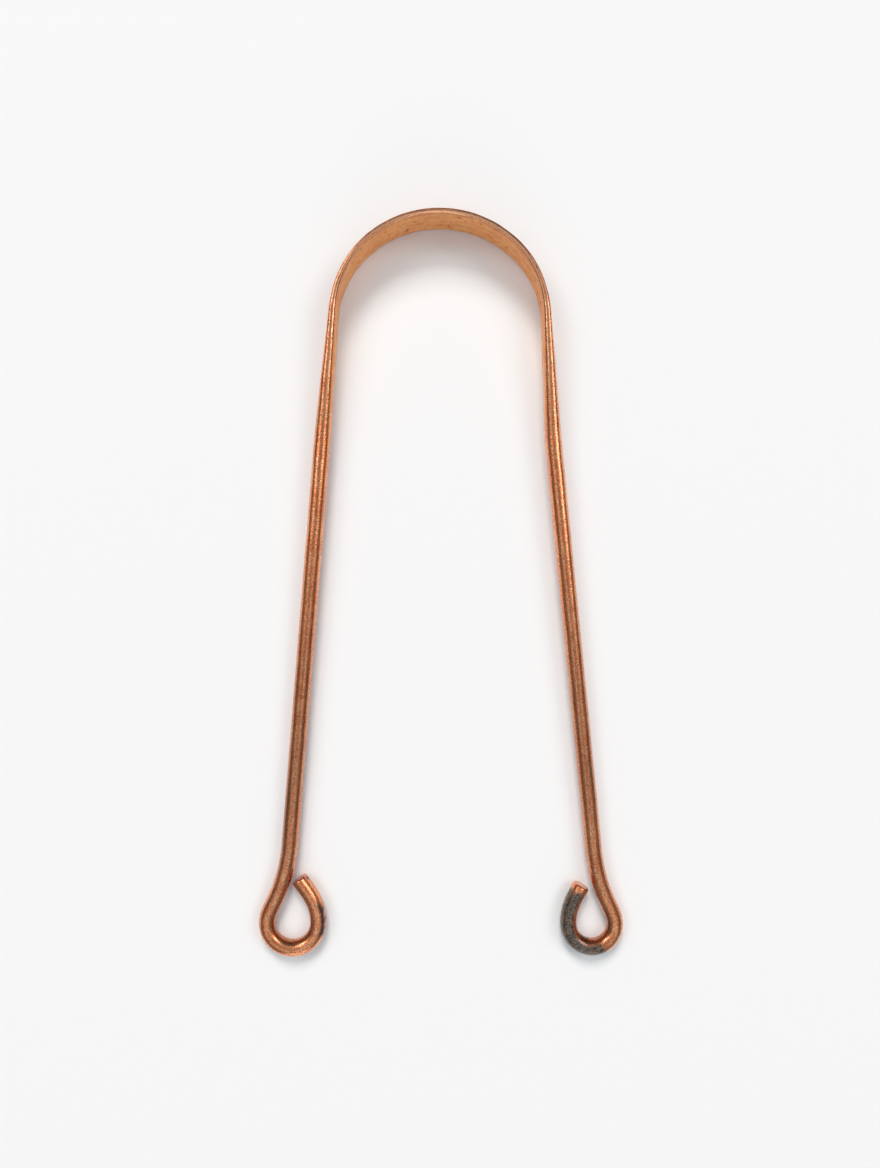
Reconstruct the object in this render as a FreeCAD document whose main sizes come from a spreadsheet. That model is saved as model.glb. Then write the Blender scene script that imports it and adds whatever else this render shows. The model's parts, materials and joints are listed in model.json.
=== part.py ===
# Tongue scraper, bent from one length of round copper wire and lying on a table.
# The middle of the wire is hammered into a flat strip and bent into a bow, the ends stay round
# as handles, and each end is turned back into an open teardrop loop for a finger.
# Millimetres and degrees. +X is right, +Y points to the bow, +Z is up, and the origin is on the
# table under the middle of the scraper.
import FreeCAD, Part
import enum
import math
import os

import Sketcher

SIZES = {
    # round wire
    "wire_diameter": 3.0,
    # hammered strip: the blade between the flex lines, and the ends of the bow
    "blade_width": 7.6,
    "blade_thickness": 0.88,
    "bow_end_width": 5.6,
    "bow_end_thickness": 1.3,
    # bevel of the strip's corners, as a share of half its thickness
    "edge_bevel_share": 0.55,
    # bow, measured on the middle line of the strip
    "bow_radius": 19.0,
    "flex_angle": 48.0,
    "flex_gap": 0.1,
    # necks, where the strip draws back to round wire, and the straight legs
    "neck_length": 22.0,
    "left_splay_angle": 4.7,
    "right_splay_angle": 5.4,
    "left_leg_length": 74.5,
    "right_leg_length": 75.8,
    # finger loops: outward flare, round eye, gentler closing bend and the cut tip
    "flare_radius": 28.7,
    "left_flare_angle": 24.1,
    "right_flare_angle": 22.6,
    "left_eye_radius": 4.6,
    "right_eye_radius": 4.15,
    "closing_radius": 9.6,
    "left_closing_angle": 35.0,
    "right_closing_angle": 26.0,
    "left_tip_gap": 0.3,
    "right_tip_gap": 1.0,
    "tip_chamfer": 0.25,
}

# A right-hand piece turns clockwise to bend towards the middle, and a left-hand one is its mirror.
HANDS = {"left": -1, "right": 1}


class Bend(enum.IntEnum):
    """Which way the wire turns on its way from the crown to a tip."""

    INWARD = 1
    OUTWARD = -1


class Axis(enum.IntEnum):
    """A sketch's own axes, by the numbers that constraints use."""

    X = -1
    Y = -2


class Point(enum.IntEnum):
    """The points of a line or an arc, by the numbers that constraints use."""

    START = 1
    END = 2
    CENTRE = 3


ORIGIN = (Axis.X, Point.START)

# Two broad faces, two narrow edges and four bevels
STRIP_SIDES = 8

Vector = FreeCAD.Vector
Placement = FreeCAD.Placement
Rotation = FreeCAD.Rotation
Constraint = Sketcher.Constraint
UP = Vector(0, 0, 1)

doc = FreeCAD.newDocument("tongue_scraper")
sheet = doc.addObject("Spreadsheet::Sheet", "sizes")


def add_cell(alias, number):
    """One named number in the sheet."""
    row = len(sheet.getUsedCells()) // 2 + 1
    sheet.set(f"A{row}", alias)
    sheet.set(f"B{row}", str(number))
    sheet.setAlias(f"B{row}", alias)


for cell_alias, cell_number in SIZES.items():
    add_cell(cell_alias, cell_number)
doc.recompute()


def value(expression):
    return float(sheet.evalExpression(expression))


def cell(name):
    return f"sizes.{name}"


GAP_TURN = "(sizes.flex_gap / 2 / sizes.bow_radius * 180 / pi)"


def flank_turn(side):
    return f"(90 - sizes.{side}_splay_angle - sizes.flex_angle - {GAP_TURN})"


def eye_turn(side):
    """From the flare round to a heading straight at the bow."""
    return f"(180 + sizes.{side}_splay_angle + sizes.{side}_flare_angle)"


# Poses along the wire: local -Y runs along the wire, away from the crown.
def after_line(pose, length):
    return pose * Placement(Vector(0, -length, 0), Rotation())


def after_arc(pose, radius, turn, bend):
    """Pose at the end of an arc. A bend of 1 turns clockwise and of -1 anticlockwise."""
    spin = Rotation(UP, -bend * turn)
    centre = Vector(-bend * radius, 0, 0)
    return pose * Placement(centre - spin.multVec(centre), spin)


def wire_poses(side):
    """Where each zone of one half of the wire starts, in the plane of the bow."""
    hand = HANDS[side]
    radius = value("sizes.bow_radius")
    crown = Placement(Vector(0, radius, 0), Rotation(UP, 90 * hand))
    poses = {"flex": after_arc(crown, radius, value("sizes.flex_angle"), hand)}
    poses["flank"] = after_arc(poses["flex"], radius, value(GAP_TURN), hand)
    poses["neck"] = after_arc(poses["flank"], radius, value(flank_turn(side)), hand)
    poses["leg"] = after_line(poses["neck"], value("sizes.neck_length"))
    poses["loop"] = after_line(poses["leg"], value(f"sizes.{side}_leg_length"))
    poses["eye"] = after_arc(
        poses["loop"], value("sizes.flare_radius"), value(f"sizes.{side}_flare_angle"), -hand
    )
    poses["closing"] = after_arc(
        poses["eye"], value(f"sizes.{side}_eye_radius"), value(eye_turn(side)), hand
    )
    poses["tip"] = after_arc(
        poses["closing"], value("sizes.closing_radius"), value(f"sizes.{side}_closing_angle"), hand
    )
    return poses


def eye_centre(side, poses):
    return poses["eye"].multVec(Vector(-HANDS[side] * value(f"sizes.{side}_eye_radius"), 0, 0))


def tip_length(side, poses):
    """Straight run of the tip: its inner corner stops the tip gap short of the flare's surface."""
    hand = HANDS[side]
    half_wire = value("sizes.wire_diameter") / 2
    flare_radius = value("sizes.flare_radius")
    flare_centre = poses["loop"].multVec(Vector(hand * flare_radius, 0, 0))
    from_tip = poses["tip"].inverse().multVec(flare_centre)
    reach = flare_radius + half_wire + value(f"sizes.{side}_tip_gap")
    across = from_tip.x + hand * half_wire
    return -from_tip.y - math.sqrt(reach**2 - across**2)


POSES = {side: wire_poses(side) for side in HANDS}
for wire_side, side_poses in POSES.items():
    add_cell(f"{wire_side}_tip_length", tip_length(wire_side, side_poses))
doc.recompute()


# Bodies and sketches
def origin_plane(body, role):
    return [feature for feature in body.Origin.OriginFeatures if feature.Role == role][0]


def new_body(label):
    body = doc.addObject("PartDesign::Body", label)
    body.Label = label
    return body


def flat_sketch(body, name, role):
    sketch = body.newObject("Sketcher::SketchObject", name)
    sketch.AttachmentSupport = [(origin_plane(body, role), "")]
    sketch.MapMode = "FlatFace"
    return sketch


def bind(sketch, constraint, expression):
    index = sketch.addConstraint(constraint)
    sketch.setExpression(f"Constraints[{index}]", expression)


def circle_arc(x, y, radius, first, last):
    return Part.ArcOfCircle(Part.Circle(Vector(x, y, 0), UP, radius), first, last)


def draw_wire_circle(sketch):
    diameter = cell("wire_diameter")
    sketch.addGeometry(Part.Circle(Vector(), UP, value(diameter) / 2))
    sketch.addConstraint(Constraint("Coincident", 0, Point.CENTRE, *ORIGIN))
    bind(sketch, Constraint("Diameter", 0, value(diameter)), diameter)


def draw_wire_arcs(sketch):
    """Round wire in as many arcs as the strip has sides, so that each side runs into one arc."""
    radius = "(sizes.wire_diameter / 2)"
    first_rise = f"({radius} * sin(180 / {STRIP_SIDES}))"
    turn = math.tau / STRIP_SIDES
    for index in range(STRIP_SIDES):
        first = (index + 0.5) * turn
        sketch.addGeometry(circle_arc(0, 0, value(radius), first, first + turn))
        sketch.addConstraint(Constraint("Coincident", index, Point.CENTRE, *ORIGIN))
        sketch.addConstraint(Constraint("Angle", index, turn))
    for index in range(1, STRIP_SIDES):
        sketch.addConstraint(
            Constraint("Coincident", index - 1, Point.END, index, Point.START)
        )
    bind(sketch, Constraint("Radius", 0, value(radius)), radius)
    bind(sketch, Constraint("DistanceY", *ORIGIN, 0, Point.START, value(first_rise)), first_rise)


def draw_strip(sketch, station):
    """Hammered section: two broad faces, two narrow edges and four bevelled corners."""
    half = f"(sizes.{station}_thickness / 2)"
    rise = f"(sizes.{station}_width / 2)"
    bevel = f"({half} * sizes.edge_bevel_share)"
    first_quarter = [(half, f"({rise} - {bevel})"), (f"({half} - {bevel})", rise)]
    right = [(value(x), value(y)) for x, y in first_quarter]
    upper = right + [(-x, y) for x, y in reversed(right)]
    corners = [Vector(x, y, 0) for x, y in upper + [(-x, -y) for x, y in upper]]
    following = [(index + 1) % STRIP_SIDES for index in range(STRIP_SIDES)]
    for corner, after in zip(corners, following):
        sketch.addGeometry(Part.LineSegment(corner, corners[after]))
    for index, after in enumerate(following):
        sketch.addConstraint(Constraint("Coincident", index, Point.END, after, Point.START))
    # Corners count anticlockwise from the right, so the lower half mirrors the upper one backwards.
    half_way = STRIP_SIDES // 2
    mirrors = [(index, STRIP_SIDES - 1 - index, Axis.X) for index in range(half_way)]
    mirrors += [(index, half_way - 1 - index, Axis.Y) for index in range(half_way // 2)]
    for corner, mirror, axis in mirrors:
        sketch.addConstraint(
            Constraint("Symmetric", corner, Point.START, mirror, Point.START, axis)
        )
    for corner, (x, y) in enumerate(first_quarter):
        bind(sketch, Constraint("DistanceX", *ORIGIN, corner, Point.START, value(x)), x)
        bind(sketch, Constraint("DistanceY", *ORIGIN, corner, Point.START, value(y)), y)


def strip_across(body, path, station, along):
    """Strip section square to a one-edge path, at a share of the way along it."""
    sketch = body.newObject("Sketcher::SketchObject", f"{path.Name}_{station}_{round(100 * along)}")
    sketch.AttachmentSupport = [(path, "Edge1")]
    sketch.MapMode = "NormalToEdge"
    sketch.MapPathParameter = along
    draw_strip(sketch, station)
    return sketch


def draw_runs(sketch, hand, runs):
    """Tangent runs from the sketch's origin, the first an arc that heads along -Y.

    A run is (length,) or (radius, turn, bend), where bend is Bend.INWARD or Bend.OUTWARD.
    """
    pose = Placement()
    last_exit = ORIGIN
    for index, run in enumerate(runs):
        start = pose.Base
        if len(run) == 1:
            pose = after_line(pose, value(run[0]))
            sketch.addGeometry(Part.LineSegment(start, pose.Base))
            entry, leave = Point.START, Point.END
            sizes = [(Constraint("Distance", index, value(run[0])), run[0])]
        else:
            radius, turn, bend = run
            clockwise = bend * hand
            centre = pose.multVec(Vector(-clockwise * value(radius), 0, 0))
            pose = after_arc(pose, value(radius), value(turn), clockwise)
            entry, leave = (Point.END, Point.START) if clockwise == 1 else (Point.START, Point.END)
            ends = {entry: start - centre, leave: pose.Base - centre}
            angles = [math.atan2(ends[point].y, ends[point].x) for point in (Point.START, Point.END)]
            sketch.addGeometry(circle_arc(centre.x, centre.y, value(radius), *angles))
            sizes = [
                (Constraint("Radius", index, value(radius)), radius),
                (Constraint("Angle", index, math.radians(value(turn))), turn),
            ]
        if index == 0:
            sketch.addConstraint(Constraint("Coincident", index, entry, *last_exit))
            sketch.addConstraint(Constraint("PointOnObject", index, Point.CENTRE, Axis.X))
        else:
            sketch.addConstraint(Constraint("Tangent", *last_exit, index, entry))
        for constraint, expression in sizes:
            bind(sketch, constraint, expression)
        last_exit = (index, leave)


def sweep(body, path, sections):
    """Section swept along a path, blended into a second section where there is one."""
    pipe = body.newObject("PartDesign::AdditivePipe", f"{body.Name}_sweep")
    pipe.Profile = sections[0]
    pipe.Spine = path
    if len(sections) > 1:
        pipe.Transformation = "Multisection"
        pipe.Sections = [(section, [""]) for section in sections[1:]]
    return pipe


# The zones of the wire
def make_scraping_bow():
    """Flat middle of the bow, from one flex line over the crown to the other."""
    body = new_body("scraping_bow")
    path = flat_sketch(body, "bow_line", "XY_Plane")
    radius = cell("bow_radius")
    span = f"(2 * (sizes.flex_angle - {GAP_TURN}))"
    half_span = math.radians(value(span)) / 2
    path.addGeometry(
        circle_arc(0, 0, value(radius), math.pi / 2 - half_span, math.pi / 2 + half_span)
    )
    path.addConstraint(Constraint("Coincident", 0, Point.CENTRE, *ORIGIN))
    path.addConstraint(Constraint("Symmetric", 0, Point.START, 0, Point.END, Axis.Y))
    bind(path, Constraint("Radius", 0, value(radius)), radius)
    bind(path, Constraint("Angle", 0, 2 * half_span), span)
    doc.recompute()
    sweep(body, path, [strip_across(body, path, "blade", 0.0)])
    return body


def make_flank(side):
    """Side of the bow beyond the flex line, thickening towards the leg."""
    hand = HANDS[side]
    body = new_body(f"{side}_flank")
    path = flat_sketch(body, f"{side}_flank_line", "XY_Plane")
    draw_runs(path, hand, [(cell("bow_radius"), flank_turn(side), Bend.INWARD)])
    doc.recompute()
    flex_end, leg_end = (1.0, 0.0) if hand == 1 else (0.0, 1.0)
    sections = [
        strip_across(body, path, "blade", flex_end),
        strip_across(body, path, "bow_end", leg_end),
    ]
    sweep(body, path, sections)
    return body


def make_neck(side):
    """Where the strip draws back to round wire."""
    body = new_body(f"{side}_neck")
    strip_end = flat_sketch(body, f"{side}_neck_strip_end", "XZ_Plane")
    draw_strip(strip_end, "bow_end")
    wire_end = flat_sketch(body, f"{side}_neck_wire_end", "XZ_Plane")
    wire_end.setExpression("AttachmentOffset.Base.z", cell("neck_length"))
    draw_wire_arcs(wire_end)
    doc.recompute()
    loft = body.newObject("PartDesign::AdditiveLoft", f"{side}_neck_loft")
    loft.Profile = strip_end
    loft.Sections = [(wire_end, [""])]
    return body


def make_leg(side):
    """Straight round handle."""
    body = new_body(f"{side}_leg")
    profile = flat_sketch(body, f"{side}_leg_wire", "XZ_Plane")
    draw_wire_circle(profile)
    pad = body.newObject("PartDesign::Pad", f"{side}_leg_pad")
    pad.Profile = profile
    pad.setExpression("Length", f"sizes.{side}_leg_length")
    return body


def make_loop(side):
    """Outward flare, teardrop finger loop and the cut tip with its broken edge."""
    body = new_body(f"{side}_loop")
    path = flat_sketch(body, f"{side}_loop_line", "XY_Plane")
    runs = [
        (cell("flare_radius"), cell(f"{side}_flare_angle"), Bend.OUTWARD),
        (cell(f"{side}_eye_radius"), eye_turn(side), Bend.INWARD),
        (cell("closing_radius"), cell(f"{side}_closing_angle"), Bend.INWARD),
        (cell(f"{side}_tip_length"),),
    ]
    draw_runs(path, HANDS[side], runs)
    profile = flat_sketch(body, f"{side}_loop_wire", "XZ_Plane")
    draw_wire_circle(profile)
    doc.recompute()
    pipe = sweep(body, path, [profile])
    doc.recompute()
    tip = after_line(POSES[side]["tip"], value(f"sizes.{side}_tip_length")).Base
    tip = POSES[side]["loop"].inverse().multVec(tip)
    rims = [
        f"Edge{number}"
        for number, edge in enumerate(pipe.Shape.Edges, start=1)
        if edge.CenterOfMass.distanceToPoint(tip) < value("sizes.tip_chamfer")
    ]
    chamfer = body.newObject("PartDesign::Chamfer", f"{side}_tip_chamfer")
    chamfer.Base = (pipe, rims)
    chamfer.setExpression("Size", cell("tip_chamfer"))
    return body


PIECES = {"scraping_bow": make_scraping_bow()}
for wire_side, side_poses in POSES.items():
    for zone, make_zone in (
        ("flank", make_flank),
        ("neck", make_neck),
        ("leg", make_leg),
        ("loop", make_loop),
    ):
        piece = make_zone(wire_side)
        piece.Placement = side_poses[zone]
        PIECES[piece.Label] = piece
doc.recompute()


# The scraper lies on the blade's lower edge at the flex lines and on the ends of its loops.
def table_tilt():
    rise = value("sizes.blade_width / 2")
    lowest_eye = min(
        eye_centre(side, poses).y - value(f"sizes.{side}_eye_radius") for side, poses in POSES.items()
    )
    run = POSES["left"]["flex"].Base.y - lowest_eye
    lift = value("sizes.wire_diameter / 2")
    return math.degrees(math.atan2(rise, run) - math.asin(lift / math.hypot(rise, run)))


def place_on_table():
    """Tilts every piece to its lie and centres the whole over the origin."""
    tilt = Placement(Vector(), Rotation(Vector(1, 0, 0), table_tilt()))
    for body in PIECES.values():
        body.Placement = tilt * body.Placement
    doc.recompute()
    box = FreeCAD.BoundBox()
    for body in PIECES.values():
        box.add(body.Shape.optimalBoundingBox(False, False))
    shift = Placement(-Vector(box.Center.x, box.Center.y, box.ZMin), Rotation())
    for body in PIECES.values():
        body.Placement = shift * body.Placement
    doc.recompute()
    return shift * tilt


lie = place_on_table()

for item in doc.Objects:
    if "Invalid" in item.State or "Error" in item.State:
        raise RuntimeError(f"{item.Label} did not build: {item.State}")
for label, body in PIECES.items():
    if body.Shape.isNull() or not body.Shape.isValid() or len(body.Shape.Solids) != 1:
        raise RuntimeError(f"{label} is not one sound solid")

os.makedirs("parts", exist_ok=True)
for label, body in PIECES.items():
    body.Shape.exportStep(os.path.join("parts", f"{label}.step"))

for wire_side, side_poses in POSES.items():
    flex_point = lie.multVec(side_poses["flex"].Base)
    flex_axis = lie.Rotation.multVec(UP)
    eye = lie.multVec(eye_centre(wire_side, side_poses))
    print(wire_side, "flex line through", flex_point, "along", flex_axis, "eye centre", eye)
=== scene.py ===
import json
import math

import bpy
import numpy as np
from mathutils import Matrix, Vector, noise


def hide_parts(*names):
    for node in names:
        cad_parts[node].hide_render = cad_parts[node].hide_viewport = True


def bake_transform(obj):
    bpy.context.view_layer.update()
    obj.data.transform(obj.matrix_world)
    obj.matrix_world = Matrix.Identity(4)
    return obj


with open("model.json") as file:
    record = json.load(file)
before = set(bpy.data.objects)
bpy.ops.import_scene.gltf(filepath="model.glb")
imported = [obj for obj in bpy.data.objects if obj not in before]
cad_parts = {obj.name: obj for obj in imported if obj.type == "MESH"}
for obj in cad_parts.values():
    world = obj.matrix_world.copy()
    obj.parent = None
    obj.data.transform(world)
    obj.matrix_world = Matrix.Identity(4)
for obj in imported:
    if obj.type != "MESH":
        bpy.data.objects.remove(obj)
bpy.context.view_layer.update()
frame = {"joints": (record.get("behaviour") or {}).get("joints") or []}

MM = 0.001

# Wire and hammered strip, the same sizes as the solids
WIRE_RADIUS = 1.5
BLADE = {"width": 7.6, "thickness": 0.88}
BOW_END = {"width": 5.6, "thickness": 1.3}
EDGE_ROUNDNESS = 0.86
BOW_RADIUS = 19.0
FLEX_ANGLE = 48.0
CROWN_ARC = 40.0
NECK_LENGTH = 22.0
NECK_BEND_LENGTH = 6.0
TIP_CHAMFER = 0.22

# The two halves, bent by hand and so not quite alike
SIDES = {
    "left": {
        "hand": -1,
        "crown_radius": 19.5,
        "shoulder_radius": 17.8,
        "neck_splay": 5.33,
        "leg_splay": 4.69,
        "leg_length": 74.7,
        "flare": 24.8,
        "flare_radius": 28.9,
        "eye_radius": 4.62,
        "closing": 36.6,
        "closing_radius": 9.6,
        "tip_length": 2.95,
    },
    "right": {
        "hand": 1,
        "crown_radius": 20.0,
        "shoulder_radius": 17.75,
        "neck_splay": 3.55,
        "leg_splay": 5.86,
        "leg_length": 75.25,
        "flare": 23.0,
        "flare_radius": 29.5,
        "eye_radius": 4.2,
        "closing": 29.0,
        "closing_radius": 10.4,
        "tip_length": 2.3,
    },
}

# Mesh density along the wire and round it
FINE_STEP = 0.05
STRIP_STEP = 0.25
LEG_STEP = 0.5
LOOP_STEP = 0.22
RING_POINTS = 112
BEND_SOFTNESS = 1.1
TAPER_SOFTNESS = 2.4
CUT_FACE_RINGS = (0.82, 0.6, 0.3, 0.02)

# Where the traces of hammering have ended, measured from the crown, and the run over which they fade
STRIP_END = 52.0
STRIP_FADE = 16.0

# Unevenness left by hammering, drawing and bending: (height, length)
HAMMER_FACETS = (0.035, 2.6)
WIRE_SWELL = (0.02, 5.0)
WIRE_DENTS = (0.006, 1.3)


def smooth(samples, sigma):
    """Gaussian blur of evenly spaced samples, holding the end values."""
    reach = int(4 * sigma / FINE_STEP)
    offsets = np.arange(-reach, reach + 1) * FINE_STEP
    kernel = np.exp(-0.5 * (offsets / sigma) ** 2)
    padded = np.pad(samples, reach, mode="edge")
    return np.convolve(padded, kernel / kernel.sum(), mode="valid")


def summed(rates):
    """Running integral of evenly spaced rates, from zero."""
    return np.concatenate([[0], np.cumsum((rates[1:] + rates[:-1]) / 2 * FINE_STEP)])


def bow_runs(side):
    """Flatter crown and rounder shoulder of one half of the bow: (length, inward turn)."""
    shoulder = 90 - side["neck_splay"] - CROWN_ARC
    return [
        (side["crown_radius"] * math.radians(CROWN_ARC), CROWN_ARC),
        (side["shoulder_radius"] * math.radians(shoulder), shoulder),
    ]


def bow_length(side):
    return sum(length for length, turn in bow_runs(side))


def wire_runs(side):
    """Runs of one half of the wire from the crown to the tip: (length, inward turn)."""
    neck_turn = side["neck_splay"] - side["leg_splay"]
    eye_turn = 180 + side["leg_splay"] + side["flare"]
    return [
        *bow_runs(side),
        (NECK_LENGTH - NECK_BEND_LENGTH / 2, 0),
        (NECK_BEND_LENGTH, neck_turn),
        (side["leg_length"] - NECK_BEND_LENGTH / 2, 0),
        (side["flare_radius"] * math.radians(side["flare"]), -side["flare"]),
        (side["eye_radius"] * math.radians(eye_turn), eye_turn),
        (side["closing_radius"] * math.radians(side["closing"]), side["closing"]),
        (side["tip_length"], 0),
    ]


def centre_line(side):
    """Finely stepped distance, place and heading along one half, in the plane of the bow."""
    runs = wire_runs(side)
    total = sum(length for length, turn in runs)
    distance = np.arange(0, total + FINE_STEP / 2, FINE_STEP)
    curvature = np.zeros_like(distance)
    reached = 0.0
    for length, turn in runs:
        inside = (distance >= reached) & (distance < reached + length)
        curvature[inside] = math.radians(turn) / length
        reached += length
    heading = summed(smooth(curvature, BEND_SOFTNESS))
    return {
        "distance": distance,
        "heading": heading,
        "x": side["hand"] * summed(np.cos(heading)),
        "y": BOW_RADIUS - summed(np.sin(heading)),
    }


def ring_distances(side, total):
    """Distances from the crown at which the wire has a ring, up to the chamfer of the cut end."""
    strip_end = bow_length(side) + NECK_LENGTH
    leg_end = strip_end + side["leg_length"]
    chamfer = total - TIP_CHAMFER
    strip = np.arange(0, strip_end, STRIP_STEP)
    leg = np.arange(strip_end, leg_end, LEG_STEP)
    loop = np.arange(leg_end, chamfer - LOOP_STEP, LOOP_STEP)
    return np.concatenate([strip, leg, loop, [chamfer - TIP_CHAMFER / 4, chamfer]])


def section_sizes(side, distance):
    """Half thickness and half width of the wire's section at each distance from the crown."""
    flex = BOW_RADIUS * math.radians(FLEX_ANGLE)
    neck = bow_length(side)
    places = [0, flex, neck, neck + NECK_LENGTH]
    fine = np.arange(0, distance[-1] + 1, FINE_STEP)
    sizes = []
    for key in ("thickness", "width"):
        halves = [BLADE[key] / 2, BLADE[key] / 2, BOW_END[key] / 2, WIRE_RADIUS]
        sizes.append(np.interp(distance, fine, smooth(np.interp(fine, places, halves), TAPER_SOFTNESS)))
    return sizes


def rounded_ring(half_thick, half_wide):
    """Even points round a rectangle with round corners, from the middle of its outer side."""
    roundness = np.interp(half_thick, [BLADE["thickness"] / 2, WIRE_RADIUS], [EDGE_ROUNDNESS, 1.0])
    radius = half_thick * roundness
    flat_x, flat_y = half_thick - radius, half_wide - radius
    corner = math.pi / 2 * radius
    share = np.arange(RING_POINTS) / RING_POINTS * 4
    quadrant = np.floor(share).astype(int)
    along = share - quadrant
    along = np.where(quadrant % 2 == 1, 1 - along, along) * (flat_y + corner + flat_x)
    turn = np.clip((along - flat_y) / radius, 0, math.pi / 2)
    x = flat_x + radius * np.cos(turn) - np.maximum(along - flat_y - corner, 0)
    y = np.minimum(along, flat_y) + radius * np.sin(turn)
    x = np.where((quadrant == 1) | (quadrant == 2), -x, x)
    y = np.where(quadrant >= 2, -y, y)
    return np.stack([x, y], axis=1)


def half_wire(side):
    """Rings of one half from the crown to its tip: places in the bow's plane, sections, distances."""
    line = centre_line(side)
    total = line["distance"][-1]
    distance = ring_distances(side, total)
    rings = [rounded_ring(thick, wide) for thick, wide in zip(*section_sizes(side, distance))]
    for scale in (1 - TIP_CHAMFER / WIRE_RADIUS, *CUT_FACE_RINGS):
        rings.append(rounded_ring(WIRE_RADIUS, WIRE_RADIUS) * scale)
        distance = np.append(distance, total)
    section = np.array(rings)
    heading = np.interp(distance, line["distance"], line["heading"])
    middle = [np.interp(distance, line["distance"], line[axis]) for axis in ("x", "y")]
    outward = np.stack([side["hand"] * np.sin(heading), np.cos(heading)], axis=1)
    flat = np.stack(middle, axis=1)[:, None] + section[:, :, :1] * outward[:, None]
    place = np.concatenate([flat, section[:, :, 1:]], axis=2)
    return {"place": place, "section": section, "distance": distance, "total": total}


def ring_normals(points):
    """Outward normals of a grid of rings."""
    along = np.gradient(points, axis=0)
    round_ring = np.roll(points, -1, axis=1) - np.roll(points, 1, axis=1)
    normal = np.cross(round_ring, along)
    return normal / np.maximum(np.linalg.norm(normal, axis=2, keepdims=True), 1e-9)


def wobble(points, length, seed):
    """Smooth noise of about -1 to 1 at each point, with features of the given length."""
    shift = Vector((seed * 7.31, seed * 3.17, seed * 5.73))
    values = [noise.fractal(Vector(p) + shift, 1.0, 2.0, 2) for p in points.reshape(-1, 3) / length]
    return np.array(values).reshape(points.shape[:-1])


def fade_in(values, start, length):
    """0 up to start, then rising to 1 over the given length."""
    return np.clip((values - start) / length, 0, 1)


def window(values, low, high, softness):
    """1 between low and high, falling softly to 0 outside."""
    rise = np.clip((values - low) / softness + 0.5, 0, 1)
    return rise * np.clip((high - values) / softness + 0.5, 0, 1)


# One grid of rings from the left tip over the crown to the right tip
LEFT, RIGHT = half_wire(SIDES["left"]), half_wire(SIDES["right"])
CROWN = len(LEFT["distance"]) - 1
place = np.concatenate([LEFT["place"][::-1], RIGHT["place"][1:]])
section = np.concatenate([LEFT["section"][::-1], RIGHT["section"][1:]])
distance = np.concatenate([-LEFT["distance"][::-1], RIGHT["distance"][1:]])
distance = np.repeat(distance[:, None], RING_POINTS, axis=1)
on_wire = np.concatenate([section, distance[:, :, None]], axis=2)

strip_share = fade_in(-np.abs(distance), -STRIP_END, STRIP_FADE)
height = HAMMER_FACETS[0] * strip_share * wobble(on_wire, HAMMER_FACETS[1], 1)
height += WIRE_SWELL[0] * wobble(on_wire, WIRE_SWELL[1], 2)
height += WIRE_DENTS[0] * wobble(on_wire, WIRE_DENTS[1], 3)
place = place + ring_normals(place) * height[:, :, None]

# Where the surface is marked, from 0 to 1 at each point of the grid
from_left_tip = LEFT["total"] + distance
from_right_tip = RIGHT["total"] - distance
outer, upper = section[:, :, 0], section[:, :, 1]
ragged = wobble(on_wire, 1.6, 4)
fine_ragged = wobble(on_wire, 0.5, 5)
below_rim = upper.max(axis=1, keepdims=True) - upper
rim = strip_share * fade_in(-below_rim, -0.7, 0.4)
from_tip = np.minimum(from_left_tip, from_right_tip)

# Grey oxide on the right loop, short of its tip
oxide_reach = window(from_right_tip + ragged + 0.4 * fine_ragged, 1.3, 16.4, 0.9)
oxide = oxide_reach * fade_in(outer + 0.3 * ragged, -1.0, 0.5)

# Black spots on the outer side of the left loop and at the rim of its cut end
scorch = window(from_left_tip + 0.8 * ragged, 5.8, 10.8, 1.0)
scorch = scorch * window(outer + 0.3 * fine_ragged, 0.7, 1.42, 0.35)
scorch = scorch + window(from_left_tip + 0.3 * fine_ragged, 0.3, 1.2, 0.3) * fade_in(outer, 1.3, 0.1)

# Brown tarnish on the left leg's outer side and next to the oxide, darker inside the loops and along
# the right half's outer rim, and painted shade darkening the lower legs
# Painted shade: the lower legs darker
tarnish_and_painted_shade = 0.6 * window(np.abs(distance) + 4 * ragged, 88, 128, 40)
tarnish_and_painted_shade = tarnish_and_painted_shade + 0.6 * window(-distance + 3 * ragged, 112, 126, 8) * fade_in(outer, -0.2, 1.2)
tarnish_and_painted_shade = tarnish_and_painted_shade + 0.7 * window(from_tip, -4, 26, 8) * fade_in(-outer, 0.7, 0.5)
tarnish_and_painted_shade = tarnish_and_painted_shade + window(from_right_tip + ragged, 10.6, 13.2, 1.4) * fade_in(-outer, -0.3, 0.8)
dark_outer_rim = rim * fade_in(outer + 0.1 * fine_ragged, -0.05, 0.2)
tarnish_and_painted_shade = tarnish_and_painted_shade + window(distance + 3 * ragged, 6, 27, 6) * dark_outer_rim

# Dull hammered inner face, a painted highlight line above it where the metal is also smoother, and
# under that line a broken dark line of painted shade, as in a groove
inner_face = strip_share * fade_in(-outer, 0.05, 0.2) * fade_in(below_rim, 0.3, 0.2)
# Painted highlight: a cream line along the inner edge of the rim, which is also made a little smoother
burnish_and_painted_highlight = strip_share * window(outer, -0.36, -0.08, 0.1) * fade_in(-below_rim, -0.5, 0.2)
# Painted shade: a broken dark line under the highlight line, as in a groove
groove_shade = strip_share * window(below_rim + 0.15 * fine_ragged, 0.45, 0.95, 0.2)
groove_shade = groove_shade * fade_in(-outer, 0.25, 0.1) * fade_in(ragged, -0.75, 1.25)

MARKS = {
    "oxide": oxide,
    "scorch": scorch,
    "tarnish_and_painted_shade": tarnish_and_painted_shade,
    "inner_face": inner_face,
    "burnish_and_painted_highlight": burnish_and_painted_highlight,
    "groove_shade": groove_shade,
}


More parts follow.
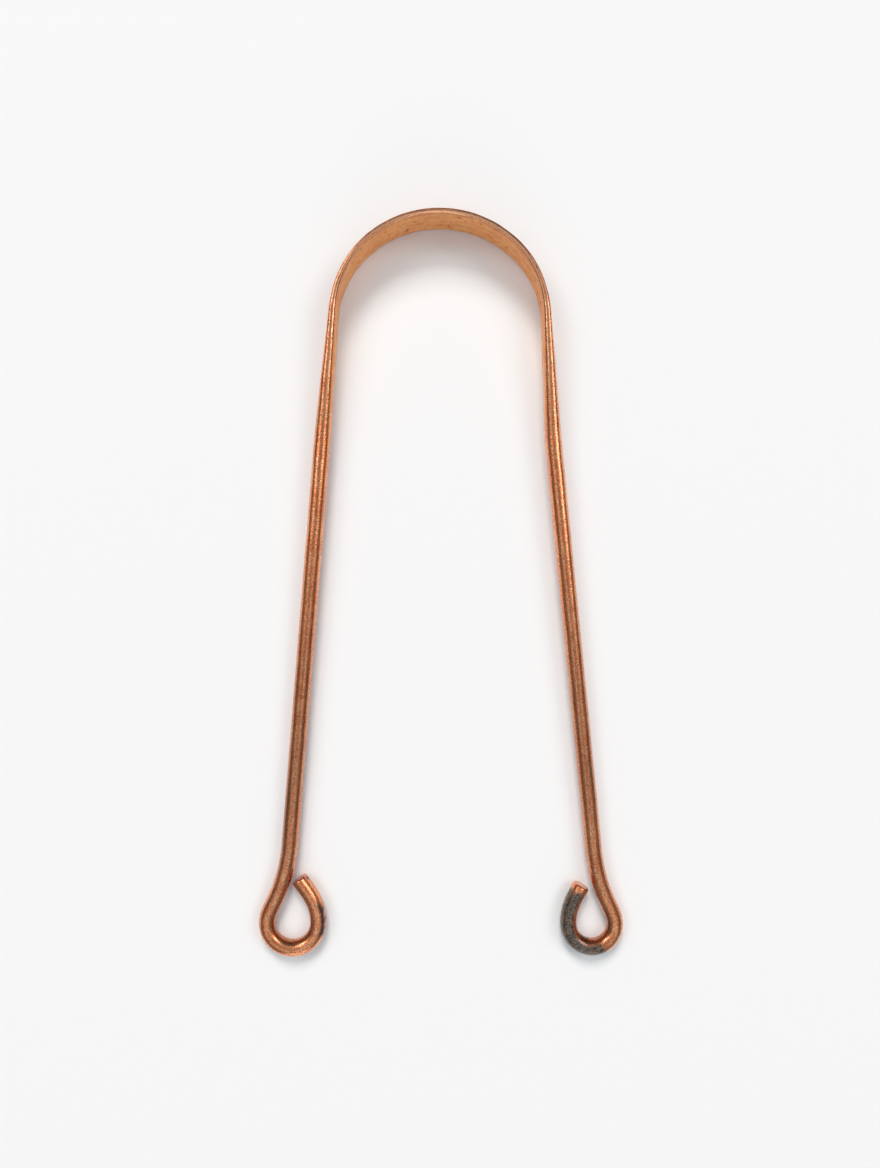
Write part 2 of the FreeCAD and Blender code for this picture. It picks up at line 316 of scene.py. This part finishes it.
def bow_point(side_name, angle):
    """Point of the bow's centre line at an angle from the crown."""
    turn = math.radians(angle)
    hand = SIDES[side_name]["hand"]
    return BOW_RADIUS * np.array([hand * math.sin(turn), math.cos(turn), 0])


def lie_on_table():
    """Turn and shift from the bow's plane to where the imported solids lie."""
    joint = [joint for joint in frame["joints"] if joint["name"] == "left_flex"][0]
    _, lean, up = joint["axis"]
    tilt = np.array([[1, 0, 0], [0, up, lean], [0, -lean, up]])
    return tilt, np.array(joint["pos_m"]) / MM - tilt @ bow_point("left", FLEX_ANGLE)


TILT, SHIFT = lie_on_table()


def on_table(points):
    """Points of the bow's plane in the part's frame, in metres."""
    return (points @ TILT.T + SHIFT) * MM


class Nodes:
    """Short ways to add the shader nodes used here."""

    def __init__(self, tree):
        self.nodes, self.links = tree.nodes, tree.links

    def add(self, kind, **values):
        node = self.nodes.new("ShaderNode" + kind)
        for socket, value in values.items():
            socket = node.inputs[socket.replace("_", " ")]
            if hasattr(value, "is_output"):
                self.links.new(value, socket)
            else:
                socket.default_value = value
        return node

    def attribute(self, name):
        node = self.add("Attribute")
        node.attribute_name = name
        return node

    def noise(self, vector, length, detail):
        return self.add("TexNoise", Vector=vector, Scale=1 / length, Detail=detail).outputs["Fac"]

    def ramp(self, value, low, high, first=0.0, last=1.0):
        values = {"From_Min": low, "From_Max": high, "To_Min": first, "To_Max": last}
        return self.add("MapRange", Value=value, **values).outputs["Result"]

    def math(self, operation, first, second):
        node = self.add("Math")
        node.operation = operation
        for socket, value in zip(node.inputs, (first, second)):
            if hasattr(value, "is_output"):
                self.links.new(value, socket)
            else:
                socket.default_value = value
        return node.outputs["Value"]

    def mix(self, share, below, above):
        node = self.add("MixRGB", Fac=share)
        for socket, colour in ((node.inputs["Color1"], below), (node.inputs["Color2"], above)):
            if hasattr(colour, "is_output"):
                self.links.new(colour, socket)
            else:
                socket.default_value = (*colour, 1)
        return node.outputs["Color"]


# Copper and what lies on it
RED_COPPER, PALE_COPPER = (0.90, 0.258, 0.088), (1.0, 0.365, 0.145)
BRIGHT_SPECKS, DARK_GRAIN = (1.0, 0.55, 0.30), (0.28, 0.080, 0.030)
WORN_COPPER, WORN_BRIGHT = (0.96, 0.36, 0.095), (1.0, 0.50, 0.17)
STREAK_BROWN, PIT_BROWN = (0.40, 0.10, 0.036), (0.26, 0.075, 0.03)
# The cream line colour is a painted highlight and the groove colour is painted shade
PAINTED_GROOVE_SHADE, PAINTED_HIGHLIGHT_CREAM = (0.36, 0.11, 0.04), (1.0, 0.56, 0.32)
# The tarnish brown also paints shade on the lower legs
TARNISH_AND_SHADE_BROWN, SCORCH_BLACK = (0.16, 0.045, 0.018), (0.03, 0.016, 0.022)
OXIDE_DARK, OXIDE_GREY = (0.024, 0.019, 0.015), (0.19, 0.135, 0.095)
LACQUER_ROUGHNESS = 0.12
LACQUER_IOR = 1.6
RELIEF = 0.024


def copper_material():
    """Satin copper under thin lacquer: grain, drawing streaks, mottling, pits and the marks above, with
    their painted highlight line and painted shade.
    """
    material = bpy.data.materials.new("copper")
    material.use_nodes = True
    kit = Nodes(material.node_tree)
    shader = kit.nodes["Principled BSDF"]

    wire = kit.attribute("on_wire").outputs["Vector"]
    stretched = kit.add("VectorMath")
    stretched.operation = "MULTIPLY"
    kit.links.new(wire, stretched.inputs[0])
    stretched.inputs[1].default_value = (1, 1, 0.05)

    grain = kit.noise(wire, 0.26 * MM, 1.0)
    speckle = kit.noise(wire, 0.34 * MM, 0.0)
    streaks = kit.noise(stretched.outputs["Vector"], 0.28 * MM, 2.0)
    mottle = kit.noise(wire, 2.4 * MM, 3.0)
    blotch = kit.noise(wire, 0.8 * MM, 2.0)
    oxide = kit.attribute("oxide").outputs["Fac"]
    scorch = kit.attribute("scorch").outputs["Fac"]
    tarnish_and_painted_shade = kit.attribute("tarnish_and_painted_shade").outputs["Fac"]
    inner_face = kit.attribute("inner_face").outputs["Fac"]
    burnish_and_painted_highlight = kit.attribute("burnish_and_painted_highlight").outputs["Fac"]
    groove_shade = kit.attribute("groove_shade").outputs["Fac"]

    colour = kit.mix(kit.ramp(mottle, 0.36, 0.64), RED_COPPER, PALE_COPPER)
    colour = kit.mix(kit.ramp(speckle, 0.54, 0.70, 0.0, 0.7), colour, BRIGHT_SPECKS)
    colour = kit.mix(kit.ramp(grain, 0.5, 0.32, 0.0, 0.75), colour, DARK_GRAIN)
    worn = kit.math("MULTIPLY", inner_face, kit.ramp(mottle, 0.3, 0.6, 0.85, 1.0))
    worn_copper = kit.mix(kit.ramp(blotch, 0.38, 0.62), WORN_COPPER, WORN_BRIGHT)
    colour = kit.mix(worn, colour, worn_copper)
    colour = kit.mix(kit.ramp(streaks, 0.46, 0.32, 0.0, 0.5), colour, STREAK_BROWN)
    pits = kit.math("MULTIPLY", inner_face, kit.ramp(blotch, 0.33, 0.28))
    colour = kit.mix(pits, colour, PIT_BROWN)
    # Painted shade of a groove under the rim's highlight line
    colour = kit.mix(kit.math("MULTIPLY", groove_shade, 0.6), colour, PAINTED_GROOVE_SHADE)
    # Painted highlight along the rim
    colour = kit.mix(kit.math("MULTIPLY", burnish_and_painted_highlight, 0.9), colour, PAINTED_HIGHLIGHT_CREAM)
    # Tarnish, with painted shade on the lower legs
    colour = kit.mix(kit.math("MULTIPLY", tarnish_and_painted_shade, 0.6), colour, TARNISH_AND_SHADE_BROWN)
    patchy = kit.math("MULTIPLY", oxide, kit.ramp(blotch, 0.25, 0.5, 0.85, 1.0))
    dark_oxide = kit.mix(kit.ramp(grain, 0.35, 0.65), OXIDE_DARK, OXIDE_GREY)
    colour = kit.mix(patchy, colour, dark_oxide)
    colour = kit.mix(kit.math("MULTIPLY", scorch, 0.93), colour, SCORCH_BLACK)
    kit.links.new(colour, shader.inputs["Base Color"])

    dulled = kit.math("MAXIMUM", oxide, scorch)
    clean_metal = kit.ramp(dulled, 0, 1, 1.0, 0.6)
    bright_metal = kit.math("MINIMUM", clean_metal, kit.ramp(inner_face, 0, 1, 1.0, 0.1))
    kit.links.new(bright_metal, shader.inputs["Metallic"])
    satin = kit.ramp(grain, 0.3, 0.7, 0.31, 0.22)
    satin = kit.math("MAXIMUM", satin, kit.math("MULTIPLY", inner_face, 0.45))
    satin = kit.math("SUBTRACT", satin, kit.math("MULTIPLY", burnish_and_painted_highlight, 0.1))
    satin = kit.math("MAXIMUM", satin, kit.math("MULTIPLY", dulled, 0.34))
    kit.links.new(satin, shader.inputs["Roughness"])

    kit.links.new(kit.ramp(inner_face, 0, 1, 0.6, 0.0), shader.inputs["Coat Weight"])
    shader.inputs["Coat Roughness"].default_value = LACQUER_ROUGHNESS
    shader.inputs["Coat IOR"].default_value = LACQUER_IOR

    relief = kit.math("ADD", grain, kit.math("MULTIPLY", streaks, 0.6))
    bump = kit.add("Bump", Strength=1.0, Distance=RELIEF * MM, Height=relief)
    kit.links.new(bump.outputs["Normal"], shader.inputs["Normal"])
    return material


def add_mark(mesh, name, kind, key, values):
    attribute = mesh.attributes.new(name, kind, "POINT")
    attribute.data.foreach_set(key, values.astype(np.float32).ravel())


def make_half(side_name, rows, material):
    """One half of the wire, closed at its tip and open at the crown, where the halves meet."""
    points = on_table(place[rows])
    index = np.arange(points[:, :, 0].size).reshape(-1, RING_POINTS)
    after = np.roll(index, -1, axis=1)
    quads = np.stack([index[:-1], after[:-1], after[1:], index[1:]], axis=2).reshape(-1, 4)
    tip_face = index[0, ::-1] if side_name == "left" else index[-1]
    mesh = bpy.data.meshes.new(f"{side_name}_half")
    mesh.from_pydata(points.reshape(-1, 3).tolist(), [], quads.tolist() + [tip_face.tolist()])
    mesh.shade_smooth()
    add_mark(mesh, "on_wire", "FLOAT_VECTOR", "vector", on_wire[rows] * MM)
    for name, values in MARKS.items():
        add_mark(mesh, name, "FLOAT", "value", values[rows])
    mesh.materials.append(material)
    half = bpy.data.objects.new(mesh.name, mesh)
    bpy.context.scene.collection.objects.link(half)
    return half


def make_wire():
    """Both halves of the wire, in place of the solids of the bow and of each half's zones, which are
    hidden.
    """
    material = copper_material()
    rows = {"left": slice(0, CROWN + 1), "right": slice(CROWN, None)}
    for side_name in SIDES:
        half = make_half(side_name, rows[side_name], material)
        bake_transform(half)
        zones = [f"{side_name}_{zone}" for zone in ("flank", "neck", "leg", "loop")]
        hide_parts("scraping_bow", *zones)


# Half the table's width, in metres, and how far it lies under the part so that they don't share a face
TABLE_REACH = 1.5
TABLE_DROP = 0.02 * MM
TABLE_GREY = 0.91


def make_table():
    outline = [(-1, -1), (1, -1), (1, 1), (-1, 1)]
    corners = [(x * TABLE_REACH, y * TABLE_REACH, -TABLE_DROP) for x, y in outline]
    mesh = bpy.data.meshes.new("table")
    mesh.from_pydata(corners, [], [(0, 1, 2, 3)])
    material = bpy.data.materials.new("table")
    material.use_nodes = True
    shader = material.node_tree.nodes["Principled BSDF"]
    shader.inputs["Base Color"].default_value = (TABLE_GREY, TABLE_GREY, TABLE_GREY, 1)
    shader.inputs["Roughness"].default_value = 1.0
    shader.inputs["Specular IOR Level"].default_value = 0.0
    mesh.materials.append(material)
    table = bpy.data.objects.new("table", mesh)
    bpy.context.scene.collection.objects.link(table)


# Light of the dome by height above the horizon (its sine): brightest 30 degrees from overhead.
# It is stronger and cooler on the loops' side than on the bow's side.
DOME = ((0.0, 0.36), (0.34, 0.36), (0.62, 0.44), (0.77, 0.9), (0.875, 1.6), (0.94, 1.1), (1.0, 0.66))
DOME_PEAK = 1.6
DOME_LEAN = 0.64
DOME_STRENGTH = 0.79
LOOP_SIDE_TINT = (0.875, 1.0, 1.10)
BOW_SIDE_TINT = (1.015, 1.0, 0.99)
SOFTBOX_DISTANCE = 9.0
NEUTRAL = (1.0, 1.0, 1.0)
WARM = (1.06, 1.0, 0.95)
# Bearing from the bow's side, angle from overhead, side in metres, share of the table's light,
# colour, and whether the metal shows it as a highlight
SOFTBOXES = {
    "left": (-57, 44, 3.6, 0.13, NEUTRAL, True),
    "right": (66, 44, 3.6, 0.13, NEUTRAL, True),
    "shadow": (-6, 49, 3.0, 0.38, WARM, False),
    "fill": (180, 70, 4.5, 0.03, NEUTRAL, True),
}


def make_dome():
    """Soft studio dome, graded by height and from the loops' side to the bow's side."""
    world = bpy.data.worlds.new("studio")
    bpy.context.scene.world = world
    world.use_nodes = True
    kit = Nodes(world.node_tree)
    direction = kit.add("TexCoord").outputs["Generated"]
    split = kit.add("SeparateXYZ", Vector=direction)
    dome = kit.add("ValToRGB", Fac=split.outputs["Z"])
    ramp = dome.color_ramp
    while len(ramp.elements) < len(DOME):
        ramp.elements.new(0.5)
    for element, (rise, level) in zip(ramp.elements, DOME):
        grey = level / DOME_PEAK
        element.position = rise
        element.color = (grey, grey, grey, 1)
    tint = kit.mix(kit.ramp(split.outputs["Y"], -1, 1), LOOP_SIDE_TINT, BOW_SIDE_TINT)
    tinted = kit.add("VectorMath")
    tinted.operation = "MULTIPLY"
    kit.links.new(dome.outputs["Color"], tinted.inputs[0])
    kit.links.new(tint, tinted.inputs[1])
    lean = kit.math("MULTIPLY", kit.math("POWER", DOME_LEAN, split.outputs["Y"]), DOME_STRENGTH)
    background = kit.nodes["Background"]
    kit.links.new(tinted.outputs["Vector"], background.inputs["Color"])
    kit.links.new(lean, background.inputs["Strength"])


def make_softboxes():
    """Far softboxes: two for highlights, one for the shadow towards the loops, one to fill the bow."""
    for name, (bearing, from_overhead, side, share, tint, highlight) in SOFTBOXES.items():
        turn, tilt = math.radians(bearing), math.radians(from_overhead)
        across = math.sin(tilt)
        toward = Vector((across * math.sin(turn), across * math.cos(turn), math.cos(tilt)))
        data = bpy.data.lights.new(f"{name}_softbox", "AREA")
        data.shape = "SQUARE"
        data.size = side
        data.color = tint
        data.energy = share * (math.pi * SOFTBOX_DISTANCE) ** 2 / math.cos(tilt)
        softbox = bpy.data.objects.new(data.name, data)
        softbox.location = toward * SOFTBOX_DISTANCE
        softbox.rotation_euler = toward.to_track_quat("Z", "Y").to_euler()
        softbox.visible_glossy = highlight
        bpy.context.scene.collection.objects.link(softbox)


# The camera looks straight down. Its place is measured from the part's origin, in millimetres.
CAMERA_PLACE = (-0.3, 0.97, 151.0)
CAMERA_LENS = 25.3
SENSOR_WIDTH = 36.0


def make_camera():
    data = bpy.data.cameras.new("camera")
    data.lens = CAMERA_LENS
    data.sensor_width = SENSOR_WIDTH
    data.clip_start = 0.01
    camera = bpy.data.objects.new("camera", data)
    camera.location = Vector(CAMERA_PLACE) * MM
    bpy.context.scene.collection.objects.link(camera)
    bpy.context.scene.camera = camera


make_wire()
make_table()
make_dome()
make_softboxes()
make_camera()
bpy.context.scene.view_settings.view_transform = "Standard"
